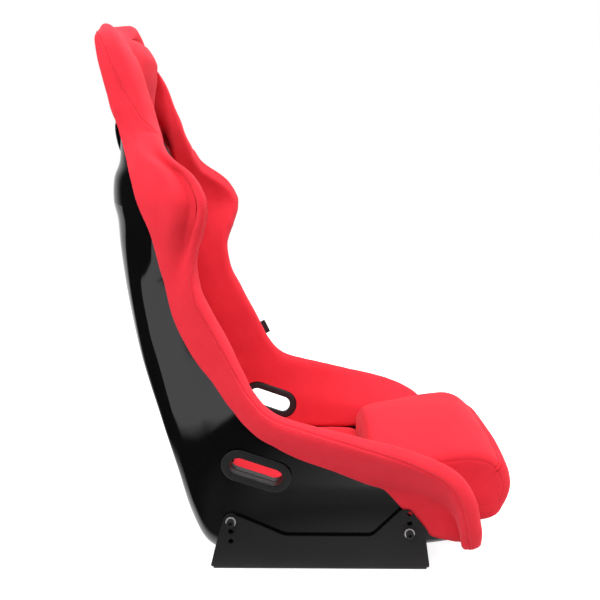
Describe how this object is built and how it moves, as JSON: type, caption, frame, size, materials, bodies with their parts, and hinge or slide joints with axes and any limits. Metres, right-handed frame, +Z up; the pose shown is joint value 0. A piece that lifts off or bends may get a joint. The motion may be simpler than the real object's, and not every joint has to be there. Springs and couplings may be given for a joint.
{
  "type": "racing bucket seat",
  "caption": "Fixed-back bucket seat with a glossy black laminate shell, padded bolsters, belt slots, a thigh cushion and side-mount brackets.",
  "frame": {"origin": "middle of the four floor slots, on the underside of the brackets", "axes": "+X forward, +Y to the sitter's left, +Z up"},
  "size_m": [0.7015, 0.538, 0.8912],
  "materials": {
    "laminate": "high gloss",
    "red_fabric": "fine woven, matt",
    "moulded_black": "matt, finely grained",
    "coated_steel": "satin powder coat",
    "zinc_steel": "bright zinc",
    "black_webbing": "woven"
  },
  "bodies": {
    "root": {"shell": "laminate", "back_pad": "red_fabric", "neck_pad": "red_fabric", "head_pad": "red_fabric", "head_bolster": "red_fabric", "shoulder_bolster_left": "red_fabric", "shoulder_bolster_right": "red_fabric", "hip_bolster_left": "red_fabric", "hip_bolster_right": "red_fabric", "base_pad": "red_fabric", "thigh_cushion": "red_fabric", "pad_strips": "moulded_black", "lap_bezel_outer_left": "moulded_black", "lap_bezel_outer_right": "moulded_black", "lap_bezel_inner_left": "moulded_black", "lap_bezel_inner_right": "moulded_black", "shoulder_bezel_front_left": "moulded_black", "shoulder_bezel_front_right": "moulded_black", "shoulder_bezel_rear_left": "moulded_black", "shoulder_bezel_rear_right": "moulded_black", "crotch_bezel_top": "moulded_black", "crotch_bezel_bottom": "moulded_black", "bracket_left": "coated_steel", "bracket_right": "coated_steel", "side_bolts": "coated_steel", "side_spacers": "coated_steel", "side_washers": "zinc_steel", "shell_inserts": "zinc_steel", "side_tag": "black_webbing"}
  },
  "joints": []
}
